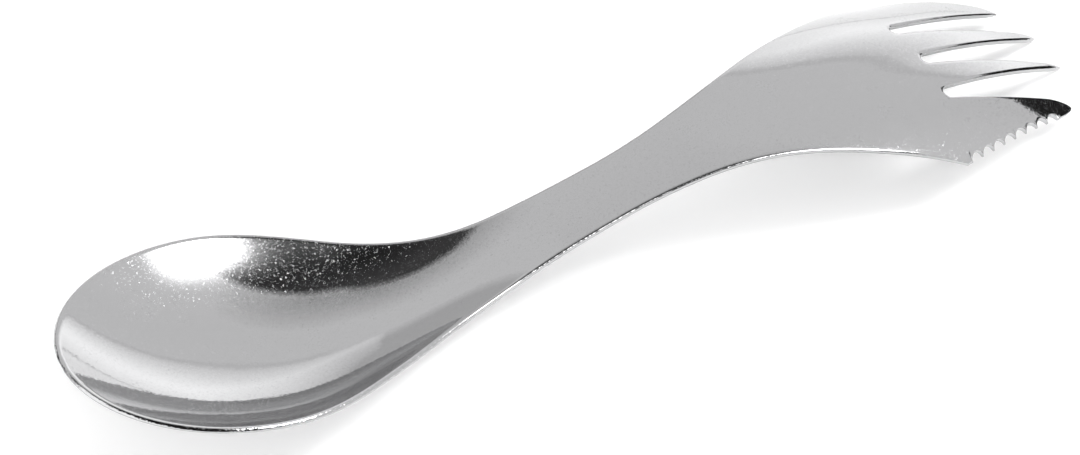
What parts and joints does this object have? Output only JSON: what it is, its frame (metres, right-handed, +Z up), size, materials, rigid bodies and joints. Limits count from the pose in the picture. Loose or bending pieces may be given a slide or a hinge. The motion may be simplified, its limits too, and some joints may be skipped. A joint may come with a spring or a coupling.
{
  "type": "spork",
  "caption": "Pressed stainless-steel spork: a spoon bowl, a flat waisted handle and a drooping fork whose outer tine has a serrated cutting edge.",
  "frame": {"origin": "centre of the spork's length and width, on the surface that it lies on", "axes": "+X along the spork from the bowl to the fork, +Z up with the bowl's hollow upwards, so the serrated tine is at -Y"},
  "size_m": [0.1698, 0.0404, 0.0183],
  "materials": {
    "stainless_steel": "tumble-polished stainless steel"
  },
  "bodies": {
    "root": {"spork": "stainless_steel"}
  },
  "joints": []
}
